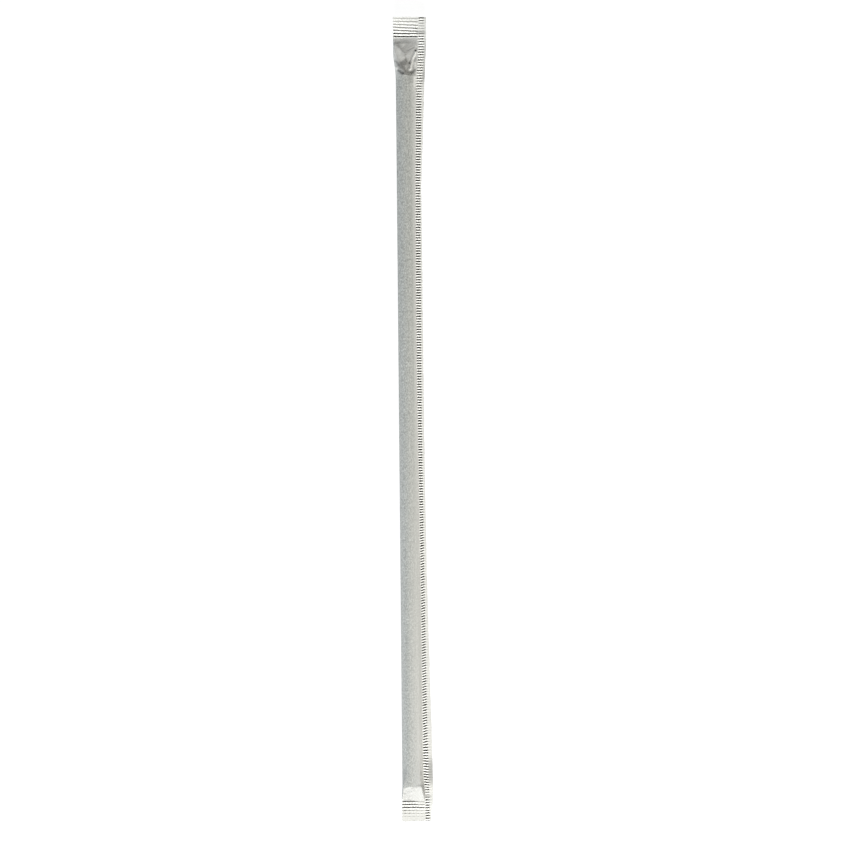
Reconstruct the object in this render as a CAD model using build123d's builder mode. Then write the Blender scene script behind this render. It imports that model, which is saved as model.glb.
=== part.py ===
from build123d import *
from math import acos, asin, atan2, cos, degrees, hypot, pi, radians, sin, tan
import os

# A drinking straw in its sealed paper wrapper, lying on a table.
#
# The wrapper is one sheet of thin paper: a sleeve round the straw, a side seam where the sheet's two
# edges are bonded face to face, and a flat ribbed seal across each end. The straw lies loose inside.
#
# Millimetres, +Z up. The straw's length is along Y and the seam is on its +X side. The origin is on
# the table, under the middle of the whole part. Away from the ends, the part rests on the sleeve's
# underside and on the cut edge of the seam.

# The straw
straw_length = 260.0
straw_diameter = 5.3
straw_wall = 0.2

# The paper, and how closely it is wrapped
paper = 0.08  # thickness of one layer
straw_clearance = 0.05  # from the straw to the paper all round
end_clearance = 0.3  # round sleeve left past each end of the straw
seam_standoff = 1.2  # from the sleeve's round side to the root of the seam
seam_width = 3.0  # from the seam's root to its cut edge

# How the sleeve closes beyond each end of the straw
upper_taper = 13.7  # the slack end
lower_taper = 4.8
upper_overhang = 0.85  # how far the flattened sleeve stands out past its round side
lower_overhang = 0.35
seal_gap = 0.04  # air left between the two layers where a seal starts

# The end seals
rib_pitch = 1.08
rib_height = 0.2  # from the bottom of a groove to the top of a rib
upper_ribs = 7
lower_ribs = 5
upper_margin = 0.1  # smooth paper between the last rib and the cut edge
lower_margin = 1.9

# How far the outer edge of the seam stands above the table, from one end to the other
upper_seal_lift = 2.0
upper_straw_lift = 1.15  # at the upper end of the straw
lower_straw_lift = 0.35  # at the lower end of the straw
lower_seal_lift = 0.0
upper_settle = 45.0  # length over which the seam comes down beside each end of the straw
lower_settle = 30.0

# Sections of the sleeve, measured from the straw's axis
straw_radius = straw_diameter / 2
sleeve_radius = straw_radius + straw_clearance
axis_height = sleeve_radius + paper
seam_root = sleeve_radius + seam_standoff
seam_edge = seam_root + seam_width
wrap_angle = acos(sleeve_radius / seam_root)
flat_width = sleeve_radius * (tan(wrap_angle) + pi - wrap_angle)
strip_width = flat_width + seam_width
upper_left = -(axis_height + upper_overhang)
lower_left = -(axis_height + lower_overhang)
rib_reach = paper + rib_height / 2

# Places along Y, worked out from the two cut edges
upper_seal = upper_ribs * rib_pitch + upper_margin
lower_seal = lower_ribs * rib_pitch + lower_margin
total_length = lower_seal + lower_taper + 2 * end_clearance + straw_length + upper_taper + upper_seal
lower_edge_y = -total_length / 2
lower_seal_y = lower_edge_y + lower_seal
lower_straw_y = lower_seal_y + lower_taper + end_clearance
upper_straw_y = lower_straw_y + straw_length
upper_seal_y = upper_straw_y + end_clearance + upper_taper


def lean_for(lift, edge, half_thickness):
    """Degrees below level at which the lowest corner of an edge stands this high above the table."""
    corner = hypot(edge, half_thickness)
    return degrees(asin((axis_height - lift) / corner) - atan2(half_thickness, edge))


upper_seal_lean = lean_for(upper_seal_lift, upper_left + strip_width, rib_reach)
upper_straw_lean = lean_for(upper_straw_lift, seam_edge, paper)
table_lean = lean_for(0, seam_edge, paper)
lower_straw_lean = lean_for(lower_straw_lift, seam_edge, paper)
lower_seal_lean = lean_for(lower_seal_lift, lower_left + strip_width, rib_reach)


def strip_extent(left, lean):
    """How far a leaning end seal reaches to each side of the straw's axis."""
    slant = radians(lean)
    past = rib_reach * sin(slant)
    return left * cos(slant) - past, (left + strip_width) * cos(slant) + past


# The straw's axis is set aside so that the origin falls under the middle of the whole part
strip_extents = strip_extent(upper_left, upper_seal_lean) + strip_extent(lower_left, lower_seal_lean)
axis_x = -(min(strip_extents) + max(strip_extents)) / 2


def leaning(lean):
    """The direction across the wrapper from the straw's axis towards the seam."""
    return Vector(cos(radians(lean)), 0, -sin(radians(lean)))


def section_plane(y, lean):
    """The plane across the wrapper at y, centred on the straw's axis, its x towards the seam."""
    return Plane(origin=(axis_x, y, axis_height), x_dir=leaning(lean), z_dir=(0, -1, 0))


def outer_face(y, lean, centre, radius, root):
    """Outside of the sleeve: an arc, its two tangents, and the seam's two bonded layers."""
    touch = acos(radius / (root - centre))
    around = radius + paper
    top_x = centre + around * cos(touch)
    top_y = around * sin(touch)
    bend = centre + (around - paper * sin(touch)) / cos(touch)
    edge = root + seam_width
    with BuildSketch(section_plane(y, lean)) as face:
        with BuildLine():
            ThreePointArc((top_x, top_y), (centre - around, 0), (top_x, -top_y))
            Polyline((top_x, -top_y), (bend, -paper), (edge, -paper))
            Line((edge, -paper), (edge, paper))
            Polyline((edge, paper), (bend, paper), (top_x, top_y))
        make_face()
    return face.sketch


def inner_face(y, lean, centre, radius, root):
    """Space inside the sleeve: the same arc and tangents, one layer of paper further in."""
    touch = acos(radius / (root - centre))
    top_x = centre + radius * cos(touch)
    top_y = radius * sin(touch)
    with BuildSketch(section_plane(y, lean)) as face:
        with BuildLine():
            ThreePointArc((top_x, top_y), (centre - radius, 0), (top_x, -top_y))
            Polyline((top_x, -top_y), (root, 0), (top_x, top_y))
        make_face()
    return face.sketch


def flattened(left):
    """Arc centre, arc radius and seam root of the sleeve where a seal has pressed it flat."""
    return left + paper + seal_gap / 2, seal_gap / 2, left + flat_width


# The sleeve's sections from end to end: place along Y, lean, arc centre, arc radius, seam root
round_sleeve = (0, sleeve_radius, seam_root)
stations = [
    (lower_seal_y, lower_seal_lean, *flattened(lower_left)),
    (lower_straw_y - end_clearance, lower_straw_lean, *round_sleeve),
    (lower_straw_y + lower_settle, table_lean, *round_sleeve),
    (upper_straw_y - upper_settle, table_lean, *round_sleeve),
    (upper_straw_y + end_clearance, upper_straw_lean, *round_sleeve),
    (upper_seal_y, upper_seal_lean, *flattened(upper_left)),
]


def seal_strip(seal_y, lean, left, ribs, margin, outwards):
    """The two bonded layers beyond one end of the sleeve: ribs, then a smooth margin to the cut edge."""
    wave = [(0, 0)]
    for rib in range(ribs):
        start = rib * rib_pitch
        wave += [(start + rib_pitch / 4, rib_height / 2), (start + rib_pitch * 3 / 4, -rib_height / 2)]
    wave += [(ribs * rib_pitch, 0), (ribs * rib_pitch + margin, 0)]
    above = [(outwards * along, height + paper) for along, height in wave]
    below = [(outwards * along, height - paper) for along, height in reversed(wave)]
    side = Plane(origin=(axis_x, seal_y, axis_height), x_dir=(0, 1, 0), z_dir=leaning(lean))
    with BuildPart() as strip:
        with BuildSketch(side.offset(left)):
            with BuildLine():
                Polyline(*above, *below, close=True)
            make_face()
        extrude(amount=strip_width)
    return strip.part


# The straw: a plain tube, cut square at both ends
with BuildPart() as drinking_straw:
    with BuildSketch(Plane.XZ.offset(-upper_straw_y)):
        with Locations((axis_x, axis_height)):
            Circle(straw_radius)
            Circle(straw_radius - straw_wall, mode=Mode.SUBTRACT)
    extrude(amount=straw_length)
drinking_straw.part.label = "drinking_straw"

# The wrapper: one sheet, hollow round the straw and bonded along the seam and at both ends
upper_strip = seal_strip(upper_seal_y, upper_seal_lean, upper_left, upper_ribs, upper_margin, 1)
lower_strip = seal_strip(lower_seal_y, lower_seal_lean, lower_left, lower_ribs, lower_margin, -1)
with BuildPart() as paper_wrapper:
    loft([outer_face(*station) for station in stations], ruled=True)
    loft([inner_face(*station) for station in stations], ruled=True, mode=Mode.SUBTRACT)
    add([upper_strip, lower_strip])
paper_wrapper.part.label = "paper_wrapper"

os.makedirs("parts", exist_ok=True)
for piece in (drinking_straw, paper_wrapper):
    export_step(piece.part, f"parts/{piece.part.label}.step")
    box = piece.part.bounding_box()
    print(piece.part.label, len(piece.part.solids()), "solid", round(piece.part.volume, 2), box.min, box.max)

# The smooth end of the lower seal is the one flat face on the part
tab_plane = section_plane(lower_edge_y + lower_margin / 2, lower_seal_lean)
tab_centre = tab_plane.from_local_coords(Vector(lower_left + strip_width / 2, paper, 0))
print("end tab", tab_centre, "facing", tab_plane.y_dir, "size", strip_width, lower_margin)
print("flat sleeve", flat_width, "length", total_length)
print("leans", upper_seal_lean, upper_straw_lean, table_lean, lower_straw_lean, lower_seal_lean)
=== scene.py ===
import math
import bmesh
import bpy
import numpy as np
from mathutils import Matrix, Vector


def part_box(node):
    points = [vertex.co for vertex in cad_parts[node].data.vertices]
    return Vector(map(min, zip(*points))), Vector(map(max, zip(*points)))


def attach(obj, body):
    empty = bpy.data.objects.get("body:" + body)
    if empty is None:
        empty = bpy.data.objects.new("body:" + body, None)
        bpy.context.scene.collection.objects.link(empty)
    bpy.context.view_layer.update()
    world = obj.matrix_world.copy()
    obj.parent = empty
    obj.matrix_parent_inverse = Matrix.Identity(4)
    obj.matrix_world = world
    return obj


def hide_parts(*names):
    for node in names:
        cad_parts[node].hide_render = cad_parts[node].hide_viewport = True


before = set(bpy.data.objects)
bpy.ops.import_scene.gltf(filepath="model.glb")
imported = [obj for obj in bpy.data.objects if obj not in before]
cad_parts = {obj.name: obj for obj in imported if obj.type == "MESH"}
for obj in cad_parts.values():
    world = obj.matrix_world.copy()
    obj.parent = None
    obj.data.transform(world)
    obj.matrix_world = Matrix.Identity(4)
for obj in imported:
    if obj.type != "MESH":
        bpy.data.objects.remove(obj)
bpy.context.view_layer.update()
print("frame loaded:", sorted(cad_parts))

mm = 0.001  # the shapes below are worked out in millimetres


def boxInMm(node):
    low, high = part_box(node)
    return low / mm, high / mm


strawLow, strawHigh = boxInMm("drinking_straw")
wrapLow, wrapHigh = boxInMm("paper_wrapper")
axisX = (strawLow.x + strawHigh.x) / 2
axisZ = (strawLow.z + strawHigh.z) / 2
strawRadius = (strawHigh.x - strawLow.x) / 2

# The wrapper: one sheet folded round the straw, its two edges pressed together in a crimped side seam.
# Across the sheet, 0 is the left fold, 1 the root of the seam, 2 the end of its crimps and 3 its cut edge.
# Each profile is a list of (place along Y, value), from the upper end to the lower one.
# Four numbers in brackets say where something begins, is full, is still full and ends.
# Three for a waver are its size, its length and its shift. Places across are measured from the straw's axis.
sheet = {
    "paper": 0.08,
    "clearance": 0.05,  # from the straw to the paper
    "sealGap": 0.04,
    "upperSeal": 7.66,
    "lowerSeal": 7.3,
    "endRoom": 0.3,  # round sleeve past each end of the straw
    "upperQuickness": 1.38,  # 1 would close the slack end at an even slope
    "leftFold": [(139, 3.68), (133, 3.72), (126, 2.84), (124, 2.78), (-134.6, 2.78), (-137.5, 3.05),
                 (-147, 3.12)],
    "seamRoot": [(147, 5.7), (137, 5.35), (132, 5.2), (124, 4.5), (90, 4.0), (50, 3.75), (10, 3.85),
                 (-60, 4.55), (-131, 4.8), (-136, 5.4), (-147, 5.5)],
    "crimpEnd": [(147, 7.9), (133, 7.75), (119, 6.7), (85, 5.87), (0, 5.62), (-60, 6.05), (-110, 6.55),
                 (-131, 7.1), (-147, 7.25)],
    "cutEdge": [(147, 8.45), (136, 8.38), (124, 7.7), (106, 7.0), (86, 6.15), (40, 6.25), (-20, 6.45),
                (-60, 6.9), (-117, 8.1), (-132, 8.37), (-141.5, 8.3), (-142.5, 7.65), (-147, 7.6)],
    "cutWaver": (0.05, 23.0, 0.3),
    "edgeLift": [(147, 2.0), (139, 2.0), (125, 1.15), (80, 0.0), (-104, 0.0), (-134, 0.3), (-140, 0.0)],
    "edgeReach": [(141, 0.24), (138, 0.09), (-138, 0.09), (-141, 0.24)],  # from its middle down
    "sealCurl": [(149, 0.98), (147, 0.8), (145, 0.62), (143, 0.42), (141, 0.2), (139.6, 0.04),
                 (138.5, 0.0)],  # the upper seal turns up
    "curlAtAxis": 1.1,
    "curlSkew": 0.1,  # more at its left corner than at its right one
    "marginTone": [(139.5, 0.0), (138.5, 0.25), (128, 0.25), (127, 0.45), (124.5, 0.45), (122.5, 0.0),
                   (-124, 0.0), (-125.5, 0.38), (-133, 0.42), (-133.6, 0.0)],  # its grey stretches
    "marginStart": (1.9, 2.0),
    "shoulder": [(-20, 0.0), (-125, 0.7), (-133, 1.0)],  # the sleeve's loose upper right, over the straw
    "shoulderStart": (0.0, 0.8),
    "shoulderSoftness": 0.5,
    "rightSlope": 1.6,
    "leftSlope": 7.0,
    "squaredAlong": (8.0, -0.3),  # from the lower rim: where the left side grows square over the straw
    "squaredAcross": (0.3, -0.3),
    "squaredOutwards": (0.3, -2.0),
    "foldInset": 0.3,  # the fold over the straw's lower end starts this far inside it
    "foldTilt": 0.28,  # and is not quite square to the straw
    "foldEnds": (-3, 3.5),
    "foldSoftness": 0.2,
    "foldSoftShare": 0.8,  # of the height left under the paper
    "valleyRoom": 1.1,  # a thinner sleeve has shallower valleys
    "ridgeFade": 2.0,  # ridges sink this far before a seal
    "creasedAcross": (0.0, 0.1, 0.95, 1.0),
    "toneStart": (0.0, 0.02),
}

grid = {
    "columns": 44,  # faces across one layer of the sleeve
    "crimpColumns": 6,
    "marginColumns": 1,
    "fineRow": 0.18,  # length of a face where the sleeve closes
    "fineInUpperEnd": 4,  # fine rows reach this far past the straw's end
    "fineInLowerEnd": 3,
    "rowsPerRib": 8,
    "crimpCuts": 5,  # rows added between two rows of the seam
    "insideColumns": 18,
    "insideEnd": 0.02,  # the inner skin stops this far inside the seals
    "insideNextRow": 0.1,
    "mergeMetres": 1e-7,
    "flatMetres": 1e-8,
    "sharpDegrees": 62,
}

crimp = {
    "pitch": 0.957,
    "height": 0.11,  # half of the depth from ridge to groove
    "fallShare": 0.5,  # a ridge is as steep on one side as on the other
    "shadedPhase": 0.333,  # the part of the wave that is painted dark: painted shade on the side of each ridge turned from the lamp and in its groove
    "shadedSharpness": 2.0,
    "wavers": [(0.18, 5.3, 0.4), (0.1, 1.9, 1.1)],
    "slant": [(-28, 0.0), (-52, 0.36), (-117, 0.3), (-121, 0.0), (-128, -0.2), (-134, -0.2), (-138, 0.0)],
    "band": (1.02, 1.12, 1.85, 2.0),  # across the sheet
    "lowerWeakening": 0.6,  # beside the seals, where the ribs cross them
    "lowerWeak": (-139, -138.4, -137, -136.2),
    "upperWeakening": 0.7,
    "upperWeak": (140.4, 141.4, 145.0, 146.2),
    "slackLightening": 0.34,  # the painted shade in the grooves is less dark beside the slack end
    "slackLight": (112, 120),
    "rimLightening": 0.16,
    "rimLight": (118, 121, 129, 132),
}

# Ribs are counted outwards from the sleeve, with a groove at each whole number.
# The dark painted along the grooves of the ribs and crimps is painted shade, so that they read as deep.
ribs = {
    "phase": 0.2,  # from a groove's number to its place in the wave
    "dashLength": 1.5,
    "across": (0.0, 0.03, 0.97, 1.0),
}

upperRibs = {
    "pitch": 1.1,
    "firstDark": 139.82,
    "height": 0.14,
    "shallowest": 0.4,  # how dark the painted shade in the faintest groove is
    "weakest": 0.02,  # how dark the faintest groove is
    "lastDark": 5.2,
    "fadeCurve": 1.2,
    "dashes": 0.1,  # how much the painted shade varies along a groove
    "darkStart": (-0.45, -0.1),
    "reach": (-0.45, -0.1, 6.0, 6.4),
    "slope": 0.005,
    "middleSlope": 0.04,  # the middle ribs run down a little to the right
    "middle": (1.2, 2.0, 4.2, 4.8),
    "levelAt": -1,
    "waver": (0.03, 6.0, 1.0),
}

lowerRibs = {
    "pitch": 1.09,
    "firstDark": -139.86,
    "height": 0.1,
    "dark": 0.78,
    "fade": ([0, 2.2, 3.0, 5.5], [1, 1, 0.55, 0.12]),  # groove numbers, and how strong each is
    "rightFade": 0.75,  # the first grooves grow weak towards the right
    "rightFadeAcross": (0.5, 3.8),
    "rightFadeUntil": (2.6, 0.4),
    "rightPale": 0.6,  # the painted shade of the last ones only grows pale
    "rightPaleAcross": (-0.5, 2.5),
    "rightPaleFrom": (2.3, 2.8),
    "dashes": 0.08,
    "lastDashes": 0.3,
    "lastDashesFrom": (1.5, 3.5),
    "dashShift": 0.3,
    "reach": (-0.6, -0.2, 5.2, 5.7),
    "rightSlope": 0.05,
    "waver": (0.03, 7.0, 2.0),
}

# Creases pressed into the upper layer: a tent of this height along a line, negative for a valley.
# Left and right are the tent's widths, seen along the line, and grow is the length that it rises over.
# Tone is how much painted shade darkens the middle of the line, and negative for a painted highlight that
# lightens it.
plainCrease = {
    "height": 0.0,
    "left": 1.0,
    "right": 1.0,
    "fade": 0.4,  # past the line's ends
    "grow": 0.0,
    "tone": 0.0,
    "lineWidth": 0.3,
    "lineCore": 1.4,  # above 1, the middle of a painted line is evenly toned
    "lineFade": 0.3,
}

creases = [
    # The dents over the straw's upper rim
    {"line": [(-1.9, 127.7), (-0.9, 127.0), (-0.1, 126.4)], "height": -0.14, "right": 0.8, "tone": 0.5,
     "lineWidth": 0.5},
    {"line": [(2.3, 126.2), (3.2, 127.0), (4.3, 128.1)], "height": -0.22, "left": 1.1, "right": 0.8,
     "tone": 0.4, "lineWidth": 0.6, "grow": 0.7},
    # The broad rounded fold on the left of the slack end, and the band under it
    {"line": [(-6.5, 136.8), (-2.7, 136.7), (0.2, 134.2), (1.0, 133.2)], "height": 0.45, "left": 6.5,
     "right": 4.0, "fade": 2.6, "tone": 0.22, "grow": 5.2},
    {"line": [(0.8, 133.3), (1.0, 132.0), (1.2, 130.9)], "height": -0.1, "left": 0.6, "right": 0.5,
     "tone": 0.25, "lineWidth": 0.45},
    {"line": [(-4.2, 131.1), (-2.6, 130.8), (-1.8, 129.8)], "height": -0.1, "left": 3.0, "right": 1.2,
     "fade": 0.6, "tone": 0.36, "lineWidth": 0.45},
    {"line": [(0.9, 125.2), (0.9, 129.6)], "height": 0.42, "left": 1.6, "right": 1.6, "fade": 2.4,
     "grow": 4.0},
    {"line": [(-1.5, 129.6), (-1.2, 128.4)], "height": -0.06, "left": 0.8, "right": 0.6, "tone": 0.3,
     "lineWidth": 0.45},
    {"line": [(-3.6, 128.8), (-2.7, 128.4)], "height": 0.2, "left": 0.8, "right": 0.9, "tone": -0.6,
     "lineWidth": 0.4},
    # Painted highlights and painted shade
    {"line": [(-3.2, 136.6), (-1.2, 132.4), (-0.4, 131.2)], "tone": -0.95, "lineWidth": 1.2},
    {"line": [(-3.7, 138.3), (-1.2, 138.1), (0.3, 136.6)], "tone": -0.9, "lineWidth": 1.0},
    {"line": [(2.6, 125.6), (2.9, 123.0)], "tone": 0.18, "lineWidth": 0.9},
    {"line": [(0.5, 129.2), (0.6, 127.8)], "tone": -0.5, "lineWidth": 0.9},
    # The narrow folds that run down beside the seam
    {"line": [(4.1, 136.1), (1.5, 134.9)], "height": -0.05, "left": 0.4, "right": 0.4, "tone": 0.15},
    {"line": [(4.9, 135.9), (3.1, 132.2), (2.2, 130.4)], "height": -0.14, "left": 0.9, "right": 0.5,
     "fade": 0.5, "tone": 0.22, "lineWidth": 0.5},
    {"line": [(4.6, 134.4), (3.3, 131.6), (2.5, 127.9)], "height": 0.4, "left": 0.7, "right": 0.8,
     "fade": 0.5, "tone": -1.0, "lineWidth": 0.45},
    {"line": [(4.5, 132.4), (4.05, 131.0), (3.7, 128.8)], "height": -0.2, "left": 0.35, "right": 0.3,
     "tone": 0.3, "lineWidth": 0.25},
    {"line": [(4.2, 130.6), (4.3, 129.2)], "height": 0.1, "left": 0.4, "right": 0.4, "tone": -0.9,
     "lineWidth": 0.4},
    {"line": [(4.2, 125.4), (4.05, 121.8)], "height": 0.15, "left": 0.4, "right": 0.4, "fade": 0.6,
     "tone": -0.9, "lineWidth": 0.35},
    # Grey in the margin beside each seal
    {"line": [(5.1, 141.4), (8.1, 141.3)], "tone": 0.36, "lineWidth": 0.6},
    {"line": [(5.7, -137.9), (7.6, -138.2)], "tone": 0.35, "lineWidth": 0.35},
    # Small creases at the lower end
    {"line": [(4.0, -129.3), (4.25, -129.9)], "height": -0.3, "left": 0.35, "right": 0.35, "fade": 0.2,
     "tone": 0.5},
    {"line": [(-1.6, -136.9), (1.8, -135.9)], "height": 0.07, "left": 0.7, "right": 0.5, "fade": 0.8,
     "tone": 0.05},
    {"line": [(-2.6, -136.1), (-1.6, -136.9)], "height": -0.12, "left": 0.5, "right": 0.5, "fade": 0.5,
     "tone": 0.06},
    {"line": [(-2.8, -139.1), (1.5, -139.2)], "height": -0.08, "left": 0.4, "right": 0.5, "fade": 0.8,
     "tone": 0.06},
]

upperRim = strawHigh.y + sheet["endRoom"]
lowerRim = strawLow.y - sheet["endRoom"]
upperSealY = wrapHigh.y - sheet["upperSeal"]
lowerSealY = wrapLow.y + sheet["lowerSeal"]
roundRadius = strawRadius + sheet["clearance"] + sheet["paper"]
flatRadius = sheet["sealGap"] / 2 + sheet["paper"]
profileSoftening = (-1.5, -0.75, 0, 0.75, 1.5)  # a profile's corners are rounded over this length


def along(profile, y):
    places = [place for place, value in reversed(profile)]
    values = [value for place, value in reversed(profile)]
    return sum(np.interp(y + step, places, values) for step in profileSoftening) / len(profileSoftening)


def ease(low, high, value):
    share = np.clip((value - low) / (high - low), 0, 1)
    return share * share * (3 - 2 * share)


def within(stretch, value):
    begin, full, stillFull, end = stretch
    return ease(begin, full, value) * ease(end, stillFull, value)


def softMinimum(first, second, softness):
    share = np.clip(0.5 + 0.5 * (second - first) / softness, 0, 1)
    return second * (1 - share) + first * share - softness * share * (1 - share)


def waver(value, size, length, shift):  # three waves that never fall in step, so nothing repeats
    turn = 2 * math.pi * value / length + shift
    waves = np.sin(turn) + np.sin(1.83 * turn + 2 * shift) + 0.7 * np.sin(3.1 * turn + 5 * shift)
    return size * (waves / 2.7)


def pressedWave(phase):
    phase = phase % 1
    fall = np.cos(math.pi * phase / crimp["fallShare"])
    rise = -np.cos(math.pi * (phase - crimp["fallShare"]) / (1 - crimp["fallShare"]))
    return np.where(phase < crimp["fallShare"], fall, rise)


# Painted shade on the side of each ridge turned from the lamp and in its groove.
def paintedShadeLine(phase):
    return np.clip(crimp["shadedSharpness"] * np.cos(2 * math.pi * (phase - crimp["shadedPhase"])), 0, 1)


def pressCreases(x, y):
    height = np.zeros_like(x)
    tone = np.zeros_like(x)
    for own in creases:
        crease = {**plainCrease, **own}
        tent = np.zeros_like(x)
        line = np.zeros_like(x)
        walked = 0
        for (startX, startY), (endX, endY) in zip(crease["line"], crease["line"][1:]):
            length = math.hypot(endX - startX, endY - startY)
            goX = (endX - startX) / length
            goY = (endY - startY) / length
            on = (x - startX) * goX + (y - startY) * goY
            side = (y - startY) * goX - (x - startX) * goY
            past = np.maximum(np.maximum(-on, on - length), 0)
            grown = 1
            if crease["grow"]:
                grown = np.clip((walked + np.clip(on, 0, length)) / crease["grow"], 0, 1)
            width = np.where(side > 0, crease["left"], crease["right"])
            share = np.clip(1 - np.abs(side) / width, 0, 1) * np.clip(1 - past / crease["fade"], 0, 1)
            tent = np.maximum(tent, share * grown)
            share = np.clip(crease["lineCore"] - np.abs(side) / crease["lineWidth"], 0, 1)
            share = share * np.clip(1 - past / crease["lineFade"], 0, 1)
            line = np.maximum(line, share * grown)
            walked += length
        height += crease["height"] * tent
        tone += crease["tone"] * line
    return height, tone


def dashed(x, dashes):
    return 1 - dashes + dashes * np.cos(2 * math.pi * x / ribs["dashLength"])


def upperRibHeight(x, y):
    number = (y - upperRibs["firstDark"]) / upperRibs["pitch"]
    left = np.clip(1 - number / upperRibs["lastDark"], 0, 1) ** upperRibs["fadeCurve"]
    strength = upperRibs["weakest"] + (1 - upperRibs["weakest"]) * left
    strength = strength * dashed(x, upperRibs["dashes"]) * ease(*upperRibs["darkStart"], number)
    slope = upperRibs["slope"] + upperRibs["middleSlope"] * within(upperRibs["middle"], number)
    phase = number + ribs["phase"] + slope * (x - upperRibs["levelAt"]) + waver(x, *upperRibs["waver"])
    deep = upperRibs["shallowest"] + (1 - upperRibs["shallowest"]) * strength
    deep = deep * within(upperRibs["reach"], number)
    return upperRibs["height"] * deep * pressedWave(phase), strength * paintedShadeLine(phase)


def lowerRibHeight(x, y):
    number = (lowerRibs["firstDark"] - y) / lowerRibs["pitch"]
    strength = np.interp(number, *lowerRibs["fade"])
    right = ease(*lowerRibs["rightFadeAcross"], x) * ease(*lowerRibs["rightFadeUntil"], number)
    strength = strength * (1 - lowerRibs["rightFade"] * right)
    dashes = lowerRibs["dashes"] + lowerRibs["lastDashes"] * ease(*lowerRibs["lastDashesFrom"], number)
    strength = strength * dashed(x + lowerRibs["dashShift"], dashes) * within(lowerRibs["reach"], number)
    phase = ribs["phase"] - number + waver(x, *lowerRibs["waver"])
    phase = phase + lowerRibs["rightSlope"] * np.maximum(x, 0)
    height = lowerRibs["height"] * strength * pressedWave(phase)
    right = ease(*lowerRibs["rightPaleAcross"], x) * ease(*lowerRibs["rightPaleFrom"], number)
    strength = strength * (1 - lowerRibs["rightPale"] * right)
    return height, lowerRibs["dark"] * strength * paintedShadeLine(phase)


def ribHeight(x, y, across):
    upperHeight, upperRibPaintedShade = upperRibHeight(x, y)
    lowerHeight, lowerRibPaintedShade = lowerRibHeight(x, y)
    sleeve = within(ribs["across"], across)
    return (upperHeight + lowerHeight) * sleeve, (upperRibPaintedShade + lowerRibPaintedShade) * sleeve


def crimpHeight(x, root, y, across):
    phase = (y - along(crimp["slant"], y) * (x - root)) / crimp["pitch"]
    strength = 1 + sum(waver(y, *each) for each in crimp["wavers"])
    strength = strength * within(crimp["band"], across)
    strength = strength * (1 - crimp["lowerWeakening"] * within(crimp["lowerWeak"], y))
    strength = strength * (1 - crimp["upperWeakening"] * within(crimp["upperWeak"], y))
    lighter = crimp["slackLightening"] * ease(*crimp["slackLight"], y)
    lighter = lighter + crimp["rimLightening"] * within(crimp["rimLight"], y)
    paintedShade = np.clip(strength * paintedShadeLine(phase), 0, 1) * (1 - lighter)
    return crimp["height"] * strength * pressedWave(phase), paintedShade


def lowerFold(x):
    return strawLow.y + sheet["foldInset"] + sheet["foldTilt"] * np.clip(x, *sheet["foldEnds"])


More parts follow.
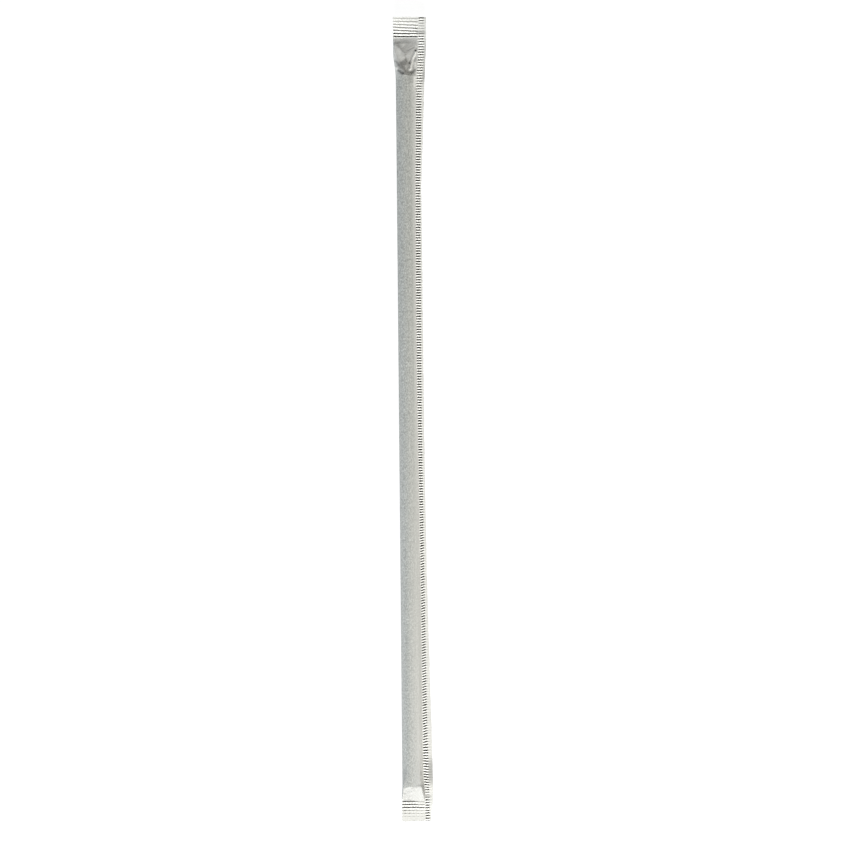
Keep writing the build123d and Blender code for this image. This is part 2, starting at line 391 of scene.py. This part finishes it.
def foldSheet(across, y, side, depth):  # side is 1 over the straw and -1 under it, depth 1 for the inner skin
    closing = 1 - np.clip((upperSealY - y) / (upperSealY - upperRim), 0, 1) ** sheet["upperQuickness"]
    radius = roundRadius + (flatRadius - roundRadius) * closing
    centre = radius - along(sheet["leftFold"], y)
    edgeX = along(sheet["cutEdge"], y) + waver(y, *sheet["cutWaver"])
    drop = axisZ - along(sheet["edgeReach"], y) - along(sheet["edgeLift"], y)
    lean = np.arctan2(drop, edgeX)
    root = along(sheet["seamRoot"], y) / np.cos(lean)
    crimpEnd = along(sheet["crimpEnd"], y) / np.cos(lean)
    edge = edgeX / np.cos(lean)
    layer = sheet["paper"] * (1 - depth)
    inwards = sheet["paper"] * depth
    radius = radius - inwards
    # Round the straw, then straight to the seam
    toRoot = root - centre
    touch = np.arccos(radius / np.hypot(toRoot, layer)) + np.arctan2(layer, toRoot)
    arc = radius * (math.pi - touch)
    straight = np.sqrt(toRoot ** 2 + layer ** 2 - radius ** 2)
    walked = np.clip(across, 0, 1) * (arc + straight)
    angle = math.pi - np.minimum(walked, arc) / radius
    rest = np.maximum(walked - arc, 0)
    u = centre + radius * np.cos(angle) + rest * np.sin(touch)
    v = radius * np.sin(angle) - rest * np.cos(touch)
    # Loose and squared over the straw's lower end, and folded flat beyond it
    bend = lowerFold(u)
    pressedFlat = np.clip((bend - y) / (bend - lowerSealY), 0, 1)
    squareStart, squareEnd = sheet["squaredAlong"]
    squared = ease(lowerRim + squareStart, lowerRim + squareEnd, y) * ease(*sheet["squaredAcross"], u)
    squared = squared * (side > 0)
    outwards = squared * ease(*sheet["squaredOutwards"], u) * np.tan(lean)
    roundTop = roundRadius - inwards
    levelTop = (roundTop + u * np.sin(lean)) / (np.cos(lean) + outwards * np.sin(lean))
    inFromRoot = sheet["rightSlope"] * (root - u) - sheet["rightSlope"] * inwards
    shoulder = softMinimum(inFromRoot, (roundTop + levelTop) / 2, sheet["shoulderSoftness"])
    share = along(sheet["shoulder"], y) * ease(*sheet["shoulderStart"], u) * (across < 1) * (side > 0)
    v = v + share * np.maximum(shoulder - v, 0)
    inFromFold = np.minimum(sheet["leftSlope"] * (u - centre + radius), levelTop)
    v = v + squared * np.maximum(inFromFold - v, 0)
    top = np.where(side > 0, levelTop, roundTop)
    limit = top + (flatRadius - inwards - top) * pressedFlat
    softness = np.minimum(sheet["foldSoftness"], sheet["foldSoftShare"] * limit)
    v = np.where(pressedFlat > 0, softMinimum(v, limit, softness), v)
    u = u - outwards * v
    # The seam
    u = u + np.clip(across - 1, 0, 1) * (crimpEnd - root) + np.clip(across - 2, 0, 1) * (edge - crimpEnd)
    v = np.where(across >= 1, layer, v)
    # Crimps, ribs and creases
    x = u * np.cos(lean) + v * side * np.sin(lean)
    crimps, paintedShade = crimpHeight(x, root * np.cos(lean), y, across)
    ribsPressed, ribPaintedShade = ribHeight(x, y, across)
    creased, tone = pressCreases(x, y)
    sleeve = within(sheet["creasedAcross"], across)
    valleys = np.minimum(creased, 0) * sleeve * np.clip(2 * v / sheet["valleyRoom"], 0, 1)
    ridges = np.maximum(creased, 0) * sleeve * np.clip((upperSealY - y) / sheet["ridgeFade"], 0, 1)
    ridges = ridges * np.clip((y - lowerSealY) / sheet["ridgeFade"], 0, 1)
    # Painted shade and highlights: a tone above 0 joins the painted shade of the crimps and ribs, and below 0
    # it is a painted highlight.
    tone = np.where(side > 0, tone, 0) * ease(*sheet["toneStart"], across)
    tone = tone + along(sheet["marginTone"], y) * ease(*sheet["marginStart"], across)
    paintedShade = np.clip(np.maximum(paintedShade, ribPaintedShade) + np.maximum(tone, 0), 0, 1)
    lift = v * side + crimps + ribsPressed
    place = np.empty((len(y), 3))
    place[:, 0] = axisX + u * np.cos(lean) + lift * np.sin(lean)
    place[:, 1] = y
    place[:, 2] = axisZ - u * np.sin(lean) + lift * np.cos(lean) + np.where(side > 0, valleys + ridges, 0)
    place[:, 2] += along(sheet["sealCurl"], y) * (sheet["curlAtAxis"] - sheet["curlSkew"] * x)
    return place, paintedShade, np.clip(-tone, 0, 1)


# How the straw's grey shows through the paper: full where they touch, and fainter further away. It pales
# where the paper stands off the straw on its flanks and, as painted shade and light, grows towards the upper
# end, away from the lamp, and pales towards the lower end and on its right wall, where the lamps light the
# paper more.
# Each pair of places is where a change starts and where it is full.
throughPaper = {
    "reach": 0.38,
    "upperReach": 0.5,  # added towards the upper end, partly as painted shade
    "upperAlong": (40, 125),
    "lowerReach": 0.2,  # taken away at the lower end
    "lowerAlong": (-100, -130),
    "sideReach": 1.7,
    "sideAlong": (10, -100),
    "loose": ([-2.6, -2.0, -0.9, 0.0, 1.0, 2.4], [0.4, 0.28, 0.05, 0.12, 0.4, 0.5]),  # places across, values
    "looseAlong": (90, -110),
    "flank": 0.15,
    "flankAcross": (1.8, 3.2),
    "flankAlong": (118, 85),
    # painted light on the steep right wall of the lower end
    "lowerFlank": 0.5,
    "lowerFlankAcross": (2.6, 4.0),
    "lowerFlankAlong": (-95, -125),
}

# Where the sleeve is empty, its paper is painted greyer: painted shade, because less light comes back from
# inside. The painted shade is darker towards the right of the slack end and paler at the lower left corner,
# as painted shade and painted light.
emptySleeve = {
    "across": (1.02, 0.98),
    "upperSeal": (0.4, 0.1),  # from the start of the seal
    "lowerSeal": (-0.3, 0.3),
    "slackAlong": (125, 127),
    "overStraw": 0.36,
    "pastFold": (0.5, -0.7),
    "slack": 0.2,
    "slackRight": 0.2,
    "slackRightAcross": (-1.0, 4.0),
    "lowerLeftPale": 0.65,
    "lowerLeftAcross": (-2.3, -3.0),
    "lowerLeftAlong": (-134.5, -136),
}


def strawShade(place):
    x, y, z = place[:, 0] - axisX, place[:, 1], place[:, 2] - axisZ
    beyond = np.maximum(np.maximum(y - strawHigh.y, lowerFold(x) - y), 0)
    ring = np.hypot(x, z) - roundRadius
    aside = np.where(beyond > 0, np.abs(ring), np.maximum(ring, 0))
    reach = throughPaper["reach"] + throughPaper["upperReach"] * ease(*throughPaper["upperAlong"], y)
    reach = reach - throughPaper["lowerReach"] * ease(*throughPaper["lowerAlong"], y)
    sideReach = reach + throughPaper["sideReach"] * ease(*throughPaper["sideAlong"], y)
    # paler where the paper stands off the straw, and painted light towards the lower end and on the right
    # walls
    looserAndPaintedLight = np.interp(x, *throughPaper["loose"]) * ease(*throughPaper["looseAlong"], y)
    for flank in ("flank", "lowerFlank"):
        where = ease(*throughPaper[flank + "Across"], x) * ease(*throughPaper[flank + "Along"], y)
        looserAndPaintedLight = looserAndPaintedLight + throughPaper[flank] * where
    return np.exp(-np.hypot(beyond / reach, aside / sideReach)) * (1 - np.minimum(looserAndPaintedLight, 1))


def hollowPaintedShadeMask(across, x, y):
    pastUpperSeal = ease(*emptySleeve["upperSeal"], y - upperSealY)
    pastLowerSeal = ease(*emptySleeve["lowerSeal"], y - lowerSealY)
    loose = ease(*emptySleeve["across"], across) * pastUpperSeal * pastLowerSeal
    slack = loose * ease(*emptySleeve["slackAlong"], y)
    pastFold = ease(*emptySleeve["pastFold"], y - lowerFold(x))
    loose = loose * (emptySleeve["overStraw"] + (1 - emptySleeve["overStraw"]) * pastFold)
    toRight = ease(*emptySleeve["slackRightAcross"], x)
    loose = loose + (emptySleeve["slack"] + emptySleeve["slackRight"] * toRight) * slack
    lowerLeft = ease(*emptySleeve["lowerLeftAcross"], x) * ease(*emptySleeve["lowerLeftAlong"], y)
    return loose * (1 - emptySleeve["lowerLeftPale"] * lowerLeft)


def rowPlaces():
    pitch = crimp["pitch"]
    sealStep = upperRibs["pitch"] / grid["rowsPerRib"]
    bodyTop = math.floor((strawHigh.y - grid["fineInUpperEnd"]) / pitch) * pitch
    bodyBottom = math.ceil((strawLow.y + grid["fineInLowerEnd"]) / pitch) * pitch
    zones = [(wrapLow.y, lowerSealY, sealStep), (lowerSealY, bodyBottom, grid["fineRow"]),
             (bodyBottom, bodyTop, pitch), (bodyTop, upperSealY, grid["fineRow"]),
             (upperSealY, wrapHigh.y, sealStep)]
    rows = []
    for start, end, step in zones:
        rows += list(np.linspace(start, end, round((end - start) / step) + 1))[:-1]
    return rows + [wrapHigh.y]


def layFlat(columns, rows):
    bm = bmesh.new()
    bmesh.ops.create_grid(bm, x_segments=len(columns) - 1, y_segments=len(rows) - 1, size=1)
    for vert in bm.verts:
        column = round((vert.co.x + 1) / 2 * (len(columns) - 1))
        row = round((vert.co.y + 1) / 2 * (len(rows) - 1))
        vert.co = (columns[column], rows[row], -1)
    second = bmesh.ops.extrude_face_region(bm, geom=bm.faces[:], use_keep_orig=True)
    raised = [item for item in second["geom"] if isinstance(item, bmesh.types.BMVert)]
    bmesh.ops.translate(bm, verts=raised, vec=(0, 0, 2))
    return bm


def foldAndClose(bm, depth):
    flat = np.array([vert.co[:] for vert in bm.verts])
    across, y, side = flat.T
    place, paintedShade, paintedLight = foldSheet(across, y, side, depth)
    # The straw's grey and the empty sleeve's painted shade, both lightened where a painted highlight lies,
    # and the painted shade of grooves and creases, kept on the points.
    shades = {
        "strawShade": strawShade(place) * (1 - paintedLight),
        "paintedShade": paintedShade,
        "hollowPaintedShade": hollowPaintedShadeMask(across, place[:, 0] - axisX, y) * (1 - paintedLight),
    }
    for vert, point in zip(bm.verts, place):
        vert.co = point * mm
    for name, values in shades.items():
        layer = bm.verts.layers.float.new(name)
        for vert, value in zip(bm.verts, values):
            vert[layer] = value
    bmesh.ops.remove_doubles(bm, verts=bm.verts[:], dist=grid["mergeMetres"])
    bmesh.ops.dissolve_degenerate(bm, dist=grid["flatMetres"], edges=bm.edges[:])
    bmesh.ops.recalc_face_normals(bm, faces=bm.faces[:])


def makeWrapper():
    rows = rowPlaces()
    sleeveColumns = list(np.linspace(0, 1, grid["columns"] + 1))
    crimpColumns = list(np.linspace(1, 2, grid["crimpColumns"] + 1))[1:]
    marginColumns = list(np.linspace(2, 3, grid["marginColumns"] + 1))[1:]
    outside = layFlat(sleeveColumns + crimpColumns + marginColumns, rows)
    seamEdges = [edge for edge in outside.edges if min(vert.co.x for vert in edge.verts) >= 1
                 and abs(edge.verts[0].co.y - edge.verts[1].co.y) > crimp["pitch"] / 2]
    bmesh.ops.subdivide_edges(outside, edges=seamEdges, cuts=grid["crimpCuts"], use_grid_fill=True)
    foldAndClose(outside, 0)
    low, high = lowerSealY + grid["insideNextRow"], upperSealY - grid["insideNextRow"]
    insideRows = [lowerSealY + grid["insideEnd"]] + [row for row in rows if low < row < high]
    insideRows += [upperSealY - grid["insideEnd"]]
    inside = layFlat(list(np.linspace(0, 1, grid["insideColumns"] + 1)), insideRows)
    foldAndClose(inside, 1)
    bmesh.ops.reverse_faces(inside, faces=inside.faces[:])
    insideMesh = bpy.data.meshes.new("inside")
    inside.to_mesh(insideMesh)
    outside.from_mesh(insideMesh)
    bpy.data.meshes.remove(insideMesh)
    inside.free()
    mesh = bpy.data.meshes.new("paperWrapper")
    for face in outside.faces:
        face.smooth = True
    outside.to_mesh(mesh)
    outside.free()
    mesh.set_sharp_from_angle(angle=math.radians(grid["sharpDegrees"]))
    wrapper = bpy.data.objects.new("paperWrapper", mesh)
    bpy.context.scene.collection.objects.link(wrapper)
    return wrapper


mixFactor, mixFirst, mixSecond, mixResult = 0, 6, 7, 2  # a colour Mix node's inputs and its output


def addNode(tree, kind, place, sockets=None, settings=None):
    node = tree.nodes.new(kind)
    node.location = place
    for name, value in (settings or {}).items():
        setattr(node, name, value)
    for name, value in (sockets or {}).items():
        node.inputs[name].default_value = value
    return node


def mixColour(tree, place, blend):
    node = addNode(tree, "ShaderNodeMix", place, settings={"data_type": "RGBA", "blend_type": blend})
    node.inputs[mixFactor].default_value = 1.0
    return node


def newMaterial(name):
    material = bpy.data.materials.new(name)
    material.use_nodes = True
    tree = material.node_tree
    tree.nodes.clear()
    output = addNode(tree, "ShaderNodeOutputMaterial", (0, 0))
    shader = addNode(tree, "ShaderNodeBsdfPrincipled", (-300, 0))
    tree.links.new(shader.outputs["BSDF"], output.inputs["Surface"])
    return material, tree, shader


def bumpFrom(tree, place, source, shader, values):
    sockets = {"Strength": values["bump"], "Distance": values["bumpMetres"]}
    bump = addNode(tree, "ShaderNodeBump", place, sockets)
    tree.links.new(source, bump.inputs["Height"])
    tree.links.new(bump.outputs["Normal"], shader.inputs["Normal"])


paper = {
    "white": (0.72, 0.72, 0.70, 1),
    "overStraw": (0.42, 0.43, 0.413, 1),
    # painted shade for the empty sleeve
    "hollowPaintedShade": (0.41, 0.41, 0.4, 1),
    # painted shade for the grooves and creases, and the margins' grey
    "paintedShade": (0.035, 0.035, 0.033, 1),
    "roughness": 0.82,
    "specular": 0.25,
    "stretch": (1, 0.6, 1),  # the fibres run more along the straw than across it
    "clouds": {"Scale": 1500.0, "Detail": 3.0, "Roughness": 0.6},
    "fibres": {"Scale": 2700.0, "Detail": 2.0, "Roughness": 0.55},
    "noiseRange": (0.3, 0.7),
    "cloudContrast": 0.1,
    "fibreContrast": 0.3,  # over the straw
    "plainContrast": 0.07,
    "bump": 0.25,
    "bumpMetres": 0.00002,
}


def contrastFrom(tree, place, source, contrast):
    low, high = paper["noiseRange"]
    sockets = {"From Min": low, "From Max": high, "To Min": 1 - contrast, "To Max": 1 + contrast}
    node = addNode(tree, "ShaderNodeMapRange", place, sockets)
    tree.links.new(source, node.inputs["Value"])
    return node.outputs["Result"]


def paperMaterial():
    material, tree, shader = newMaterial("wrapperPaper")
    link = tree.links.new
    coords = addNode(tree, "ShaderNodeTexCoord", (-1700, 0))
    stretch = addNode(tree, "ShaderNodeMapping", (-1500, 0), {"Scale": paper["stretch"]})
    link(coords.outputs["Object"], stretch.inputs["Vector"])
    clouds = addNode(tree, "ShaderNodeTexNoise", (-1250, 200), paper["clouds"])
    fibres = addNode(tree, "ShaderNodeTexNoise", (-1250, -150), paper["fibres"])
    link(stretch.outputs["Vector"], clouds.inputs["Vector"])
    link(stretch.outputs["Vector"], fibres.inputs["Vector"])
    both = addNode(tree, "ShaderNodeMath", (-750, 100), settings={"operation": "MULTIPLY"})
    link(contrastFrom(tree, (-950, 200), clouds.outputs["Fac"], paper["cloudContrast"]), both.inputs[0])
    link(contrastFrom(tree, (-950, -50), fibres.outputs["Fac"], paper["fibreContrast"]), both.inputs[1])
    mottled = mixColour(tree, (-750, -150), "MULTIPLY")
    mottled.inputs[mixFirst].default_value = paper["overStraw"]
    link(both.outputs["Value"], mottled.inputs[mixSecond])
    # Paper white, then the empty sleeve's painted shade, the straw's grey and the painted shade of grooves
    # and creases
    colour = None
    for index, name in enumerate(("hollowPaintedShade", "strawShade", "paintedShade")):
        reader = addNode(tree, "ShaderNodeAttribute", (-1250, -450 - 220 * index))
        reader.attribute_name = name
        mix = mixColour(tree, (-600 + 180 * index, -300), "MIX")
        link(reader.outputs["Fac"], mix.inputs[mixFactor])
        if colour is None:
            mix.inputs[mixFirst].default_value = paper["white"]
        else:
            link(colour, mix.inputs[mixFirst])
        if name == "strawShade":
            link(mottled.outputs[mixResult], mix.inputs[mixSecond])
        else:
            mix.inputs[mixSecond].default_value = paper[name]
        colour = mix.outputs[mixResult]
    fibrous = mixColour(tree, (-100, 350), "MULTIPLY")
    link(colour, fibrous.inputs[mixFirst])
    faint = contrastFrom(tree, (-300, 350), fibres.outputs["Fac"], paper["plainContrast"])
    link(faint, fibrous.inputs[mixSecond])
    link(fibrous.outputs[mixResult], shader.inputs["Base Color"])
    bumpFrom(tree, (-520, -250), fibres.outputs["Fac"], shader, paper)
    shader.inputs["Roughness"].default_value = paper["roughness"]
    shader.inputs["Specular IOR Level"].default_value = paper["specular"]
    return material


plastic = {
    "colour": (0.012, 0.012, 0.013, 1),
    "roughness": 0.42,
    "roughnessVaries": 0.08,
    "stretch": (1, 0.02, 1),  # fine lines drawn along the tube
    "lines": {"Scale": 3000.0, "Detail": 2.0},
    "bump": 0.2,
    "bumpMetres": 0.00002,
}


def strawMaterial():
    material, tree, shader = newMaterial("blackPlastic")
    link = tree.links.new
    coords = addNode(tree, "ShaderNodeTexCoord", (-1300, 0))
    drawn = addNode(tree, "ShaderNodeMapping", (-1100, 0), {"Scale": plastic["stretch"]})
    link(coords.outputs["Object"], drawn.inputs["Vector"])
    lines = addNode(tree, "ShaderNodeTexNoise", (-850, 0), plastic["lines"])
    link(drawn.outputs["Vector"], lines.inputs["Vector"])
    middle, varies = plastic["roughness"], plastic["roughnessVaries"]
    sockets = {"To Min": middle - varies, "To Max": middle + varies}
    gloss = addNode(tree, "ShaderNodeMapRange", (-620, 150), sockets)
    link(lines.outputs["Fac"], gloss.inputs["Value"])
    link(gloss.outputs["Result"], shader.inputs["Roughness"])
    bumpFrom(tree, (-620, -200), lines.outputs["Fac"], shader, plastic)
    shader.inputs["Base Color"].default_value = plastic["colour"]
    return material


wrapper = makeWrapper()
wrapper.data.materials.append(paperMaterial())
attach(wrapper, "root")
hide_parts("paper_wrapper")
wrapper.data.calc_loop_triangles()
print("wrapper folded:", len(wrapper.data.loop_triangles), "triangles")

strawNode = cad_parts["drinking_straw"]
strawNode.data.materials.clear()
strawNode.data.materials.append(strawMaterial())
print("straw given its plastic")

studio = {
    "floorWidth": 20.0,
    "floorSides": 96,
    "floorDrop": 0.00002,  # just under the wrapper
    "wallHeight": 1.1,  # a low pale wall far away, so that nothing darker shows above the floor from the side
    "floorColour": (0.1, 0.1, 0.1, 1),
    "floorRoughness": 0.9,
    "floorGlow": 0.965,  # a light table, so that shadows stay faint
    "roomColour": (1, 1, 1, 1),
    "roomLight": 0.08,
    "endLight": {"place": (0.0, -2.35, 1.02), "width": 0.55, "watts": 124.0, "colour": (1.0, 1.0, 0.985)},
    "leftLight": {"place": (-1.5, -1.1, 0.75), "width": 0.5, "watts": 10.0, "colour": (0.7, 0.86, 1.0)},
    "rightLight": {"place": (1.5, -1.1, 0.75), "width": 0.5, "watts": 13.0, "colour": (1.0, 0.96, 0.8)},
    "lightHeight": 0.4,
    "cameraLens": 200.0,
    "cameraSensor": 36.0,
    "cameraCentre": (4.2, -2.19),  # the point of the table under the middle of the view
    "viewWidth": 310.85,
    "cameraTurn": -0.54,  # degrees
}


def makeFloor():
    bm = bmesh.new()
    bmesh.ops.create_circle(bm, cap_ends=True, cap_tris=True, segments=studio["floorSides"],
                            radius=studio["floorWidth"] / 2)
    rim = [edge for edge in bm.edges if edge.is_boundary]
    wall = bmesh.ops.extrude_edge_only(bm, edges=rim)
    wallTop = [item for item in wall["geom"] if isinstance(item, bmesh.types.BMVert)]
    bmesh.ops.translate(bm, verts=wallTop, vec=(0, 0, studio["wallHeight"]))
    bmesh.ops.translate(bm, verts=bm.verts[:], vec=(0, 0, -studio["floorDrop"]))
    mesh = bpy.data.meshes.new("floor")
    bm.to_mesh(mesh)
    bm.free()
    floor = bpy.data.objects.new("floor", mesh)
    bpy.context.scene.collection.objects.link(floor)
    material, tree, shader = newMaterial("paleTable")
    shader.inputs["Base Color"].default_value = studio["floorColour"]
    shader.inputs["Roughness"].default_value = studio["floorRoughness"]
    shader.inputs["Specular IOR Level"].default_value = 0.0
    shader.inputs["Emission Color"].default_value = (1, 1, 1, 1)
    shader.inputs["Emission Strength"].default_value = studio["floorGlow"]
    mesh.materials.append(material)


def addSoftLight(name):
    values = studio[name]
    data = bpy.data.lights.new(name, "AREA")
    data.shape = "RECTANGLE"
    data.size = values["width"]
    data.size_y = studio["lightHeight"]
    data.energy = values["watts"]
    data.color = values["colour"]
    light = bpy.data.objects.new(name, data)
    light.location = values["place"]
    bpy.context.scene.collection.objects.link(light)
    towards = -light.location.normalized()
    light.rotation_euler = towards.to_track_quat("-Z", "Y").to_euler()


def addCamera():
    data = bpy.data.cameras.new("camera")
    data.lens = studio["cameraLens"]
    data.sensor_width = studio["cameraSensor"]
    camera = bpy.data.objects.new("camera", data)
    distance = studio["viewWidth"] * mm * data.lens / data.sensor_width
    centreX, centreY = studio["cameraCentre"]
    camera.location = (centreX * mm, centreY * mm, distance + axisZ * mm)
    camera.rotation_euler = (0, 0, math.radians(studio["cameraTurn"]))
    bpy.context.scene.collection.objects.link(camera)
    bpy.context.scene.camera = camera


makeFloor()
addSoftLight("endLight")
addSoftLight("leftLight")
addSoftLight("rightLight")
addCamera()

world = bpy.data.worlds.new("paleRoom")
world.use_nodes = True
world.node_tree.nodes["Background"].inputs["Color"].default_value = studio["roomColour"]
world.node_tree.nodes["Background"].inputs["Strength"].default_value = studio["roomLight"]
bpy.context.scene.world = world
bpy.context.scene.view_settings.view_transform = "Standard"
print("table, lights and camera placed")
